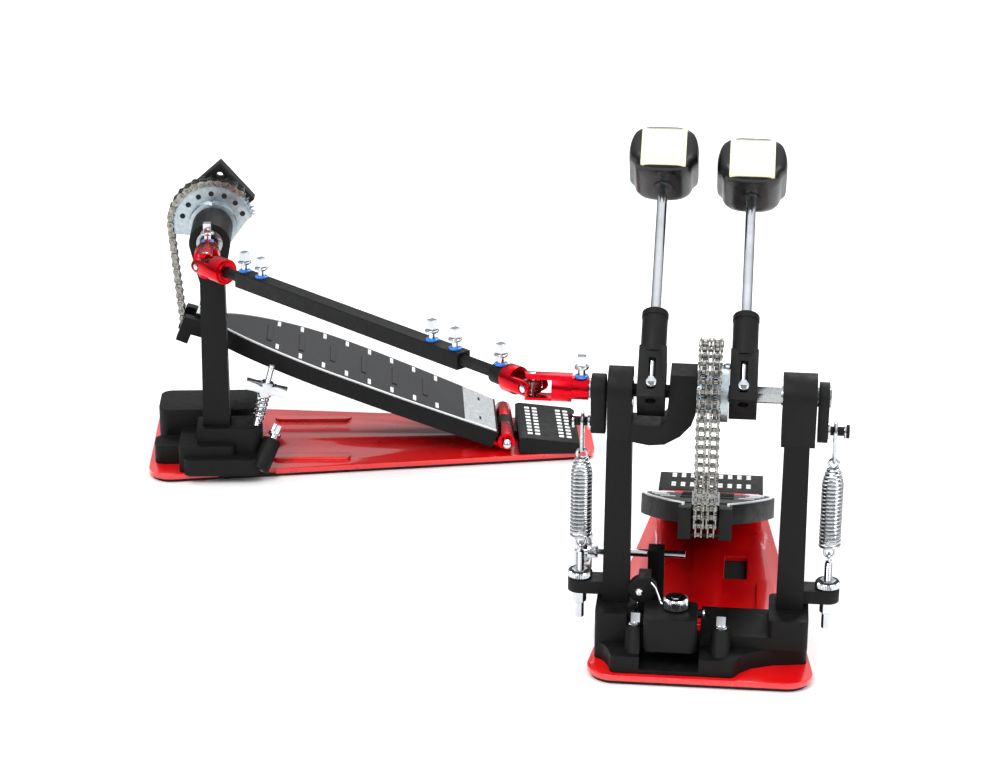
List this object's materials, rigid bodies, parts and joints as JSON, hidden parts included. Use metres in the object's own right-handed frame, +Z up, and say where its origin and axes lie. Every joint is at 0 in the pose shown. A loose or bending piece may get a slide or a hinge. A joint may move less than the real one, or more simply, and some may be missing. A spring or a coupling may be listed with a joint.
{
  "type": "double bass drum pedal",
  "caption": "Chain-driven bass drum pedal pair: sloping footboards turn sprung shafts that swing felt beaters, coupled by a telescopic link shaft with universal joints.",
  "frame": {"origin": "on the floor, mid-width of the main pedal, directly under its beater shaft", "axes": "+X along the main beater shaft away from the auxiliary pedal, +Y from toe to heel of the main pedal, +Z up"},
  "size_m": [0.5413, 0.4621, 0.3364],
  "materials": {
    "black_coat": "matte textured powder coat on cast and pressed metal",
    "red_paint": "glossy baked enamel on pressed steel",
    "red_anodised": "satin red anodised",
    "floor_rubber": "matte ribbed rubber sheet",
    "tread_skin": "fine textured grip skin with raised bars",
    "chrome": "polished plating",
    "bare_steel": "turned steel",
    "cast_zinc": "machined zinc casting",
    "chain_steel": "nickel plated, lightly oiled",
    "spring_wire": "bright drawn wire",
    "head_plastic": "satin moulded body with a pale pressed felt striking face"
  },
  "bodies": {
    "main_frame": {"main_floor_mat": "floor_rubber", "main_base_plate": "red_paint", "main_base_casting": "black_coat", "left_post": "black_coat", "right_post": "black_coat", "centre_bearing_arm": "black_coat", "main_bearings": "bare_steel", "main_heel_plate": "black_coat", "main_fixings": "chrome", "tension_rods": "chrome"},
    "left_nut": {"left_tension_nut": "chrome"},
    "right_nut": {"right_tension_nut": "chrome"},
    "main_footboard": {"main_footboard": "black_coat", "main_footboard_hinge": "red_anodised", "main_tread": "tread_skin"},
    "right_spindle": {"right_spindle": "bare_steel", "main_sprocket": "cast_zinc", "right_beater_hub": "black_coat", "right_rocker": "black_coat", "main_chain_wrap": "chain_steel"},
    "main_chain": {"main_chain_run": "chain_steel"},
    "right_beater": {"right_beater_rod": "chrome", "right_beater_head": "head_plastic"},
    "left_spindle": {"left_spindle": "black_coat", "left_beater_hub": "black_coat", "left_rocker": "black_coat", "main_yoke": "red_anodised"},
    "left_beater": {"left_beater_rod": "chrome", "left_beater_head": "head_plastic"},
    "left_spring": {"left_spring": "spring_wire"},
    "left_stirrup": {"left_stirrup": "spring_wire"},
    "right_spring": {"right_spring": "spring_wire"},
    "right_stirrup": {"right_stirrup": "spring_wire"},
    "main_cross": {"main_cross": "bare_steel"},
    "link_inner": {"main_link_yoke": "red_anodised", "link_bar": "black_coat"},
    "link_outer": {"link_tube": "black_coat", "link_key_screws": "chrome", "aux_link_yoke": "red_anodised"},
    "aux_cross": {"aux_cross": "bare_steel"},
    "aux_spindle": {"aux_yoke": "red_anodised", "aux_spindle": "black_coat", "aux_sprocket": "cast_zinc", "aux_balance_block": "black_coat", "aux_chain_wrap": "chain_steel"},
    "aux_chain": {"aux_chain_run": "chain_steel"},
    "aux_footboard": {"aux_footboard": "black_coat", "aux_footboard_hinge": "red_anodised", "aux_tread": "tread_skin"},
    "aux_frame": {"aux_floor_mat": "floor_rubber", "aux_base_plate": "red_paint", "aux_base_casting": "black_coat", "aux_post": "black_coat", "aux_bearing": "bare_steel", "aux_heel_plate": "black_coat", "aux_fixings": "chrome"},
    "aux_wing": {"aux_wing_bolt": "chrome"},
    "hoop_jaw": {"hoop_jaw": "black_coat"},
    "clamp_screw": {"clamp_screw": "chrome"},
    "clamp_wing": {"clamp_wing_rod": "chrome"}
  },
  "joints": [
    {"name": "main_footboard_hinge", "type": "hinge", "parent": "main_frame", "child": "main_footboard", "pos_m": [0, 0.226, 0.0165], "axis": [1, 0, 0], "range_deg": [-1.18, 5.5]},
    {"name": "right_spindle_turn", "type": "hinge", "parent": "main_frame", "child": "right_spindle", "pos_m": [0, 0, 0.187], "axis": [1, 0, 0], "range_deg": [-9.04, 41.96], "stiffness_Nm_per_rad": 0.9},
    {"name": "main_chain_pull", "type": "hinge", "parent": "right_spindle", "child": "main_chain", "pos_m": [0, -0.0319, 0.1992], "axis": [1, 0, 0], "range_deg": [-46.32, 9.98]},
    {"name": "right_spring_swing", "type": "hinge", "parent": "main_frame", "child": "right_spring", "pos_m": [0.082, 0.003, 0.0753], "axis": [1, 0, 0], "range_deg": [-9.1, 1.99]},
    {"name": "right_spring_stretch", "type": "slide", "parent": "right_spring", "child": "right_stirrup", "axis": [0, 0, 1], "range_m": [-0.0019, 0.00848], "deforming": ["right_spring"]},
    {"name": "right_beater_height", "type": "slide", "parent": "right_spindle", "child": "right_beater", "axis": [0, 0.7547, 0.6561], "range_m": [-0.004, 0.02]},
    {"name": "aux_reach", "type": "slide", "parent": "main_frame", "child": "aux_frame", "axis": [-0.7547, 0.6561, 0], "range_m": [-0.025, 0.08]},
    {"name": "aux_footboard_hinge", "type": "hinge", "parent": "aux_frame", "child": "aux_footboard", "pos_m": [-0.16708, 0.36342, 0.0165], "axis": [0.1392, -0.9903, 0], "range_deg": [-1.18, 5.5]},
    {"name": "aux_spindle_turn", "type": "hinge", "parent": "aux_frame", "child": "aux_spindle", "pos_m": [-0.39088, 0.33197, 0.187], "axis": [0.1392, -0.9903, 0], "range_deg": [-9.04, 41.96]},
    {"name": "aux_chain_pull", "type": "hinge", "parent": "aux_spindle", "child": "aux_chain", "pos_m": [-0.42247, 0.32753, 0.1992], "axis": [0.1392, -0.9903, 0], "range_deg": [-46.32, 9.98]},
    {"name": "aux_cross_swivel", "type": "hinge", "parent": "aux_spindle", "child": "aux_cross", "pos_m": [-0.37613, 0.227, 0.187], "axis": [0, 0, 1], "range_deg": [-7.17, 1.58]},
    {"name": "link_tube_turn", "type": "hinge", "parent": "aux_frame", "child": "link_outer", "pos_m": [-0.37613, 0.227, 0.187], "axis": [0.7547, -0.6561, 0], "range_deg": [-7.15, 33.16]},
    {"name": "link_bar_turn", "type": "hinge", "parent": "main_frame", "child": "link_inner", "pos_m": [-0.115, 0, 0.187], "axis": [0.7547, -0.6561, 0], "range_deg": [-7.15, 33.16]},
    {"name": "left_spindle_turn", "type": "hinge", "parent": "main_frame", "child": "left_spindle", "pos_m": [-0.05, 0, 0.187], "axis": [1, 0, 0], "range_deg": [-9.04, 41.96], "stiffness_Nm_per_rad": 0.9},
    {"name": "main_cross_swivel", "type": "hinge", "parent": "left_spindle", "child": "main_cross", "pos_m": [-0.115, 0, 0.187], "axis": [0, 0, 1], "range_deg": [-1.58, 7.17]},
    {"name": "left_spring_swing", "type": "hinge", "parent": "main_frame", "child": "left_spring", "pos_m": [-0.082, 0.003, 0.0753], "axis": [1, 0, 0], "range_deg": [-9.1, 1.99]},
    {"name": "left_spring_stretch", "type": "slide", "parent": "left_spring", "child": "left_stirrup", "axis": [0, 0, 1], "range_m": [-0.0019, 0.00848], "deforming": ["left_spring"]},
    {"name": "left_beater_height", "type": "slide", "parent": "left_spindle", "child": "left_beater", "axis": [0, 0.7547, 0.6561], "range_m": [-0.004, 0.02]},
    {"name": "left_nut_turn", "type": "hinge", "parent": "main_frame", "child": "left_nut", "pos_m": [-0.082, 0.003, 0.052], "axis": [0, 0, 1], "continuous": true},
    {"name": "right_nut_turn", "type": "hinge", "parent": "main_frame", "child": "right_nut", "pos_m": [0.082, 0.003, 0.052], "axis": [0, 0, 1], "continuous": true},
    {"name": "hoop_jaw_hinge", "type": "hinge", "parent": "main_frame", "child": "hoop_jaw", "pos_m": [-0.02, 0.004, 0.028], "axis": [1, 0, 0], "range_deg": [-4, 6]},
    {"name": "clamp_screw_turn", "type": "hinge", "parent": "hoop_jaw", "child": "clamp_screw", "pos_m": [-0.017, -0.024, 0.04], "axis": [0, 0, 1], "continuous": true},
    {"name": "clamp_wing_turn", "type": "hinge", "parent": "main_frame", "child": "clamp_wing", "pos_m": [-0.03, 0.034, 0.057], "axis": [1, 0, 0], "continuous": true},
    {"name": "aux_wing_turn", "type": "hinge", "parent": "aux_frame", "child": "aux_wing", "pos_m": [-0.36257, 0.28141, 0], "axis": [0.2563, 0.036, 0.9659], "continuous": true}
  ],
  "couplings": [
    {"joint": "right_spindle_turn", "follows": "main_footboard_hinge", "ratio": 7.62},
    {"joint": "main_chain_pull", "follows": "main_footboard_hinge", "ratio": -8.4125},
    {"joint": "right_spring_swing", "follows": "main_footboard_hinge", "ratio": -1.6459},
    {"joint": "right_spring_stretch", "follows": "main_footboard_hinge", "m_per_rad": 0.08732},
    {"joint": "aux_spindle_turn", "follows": "aux_footboard_hinge", "ratio": 7.62},
    {"joint": "aux_chain_pull", "follows": "aux_footboard_hinge", "ratio": -8.4125},
    {"joint": "aux_cross_swivel", "follows": "aux_footboard_hinge", "ratio": -1.2954},
    {"joint": "link_tube_turn", "follows": "aux_footboard_hinge", "ratio": 6.0198},
    {"joint": "link_bar_turn", "follows": "aux_footboard_hinge", "ratio": 6.0198},
    {"joint": "left_spindle_turn", "follows": "aux_footboard_hinge", "ratio": 7.62},
    {"joint": "main_cross_swivel", "follows": "aux_footboard_hinge", "ratio": 1.2954},
    {"joint": "left_spring_swing", "follows": "aux_footboard_hinge", "ratio": -1.6459},
    {"joint": "left_spring_stretch", "follows": "aux_footboard_hinge", "m_per_rad": 0.08732}
  ]
}
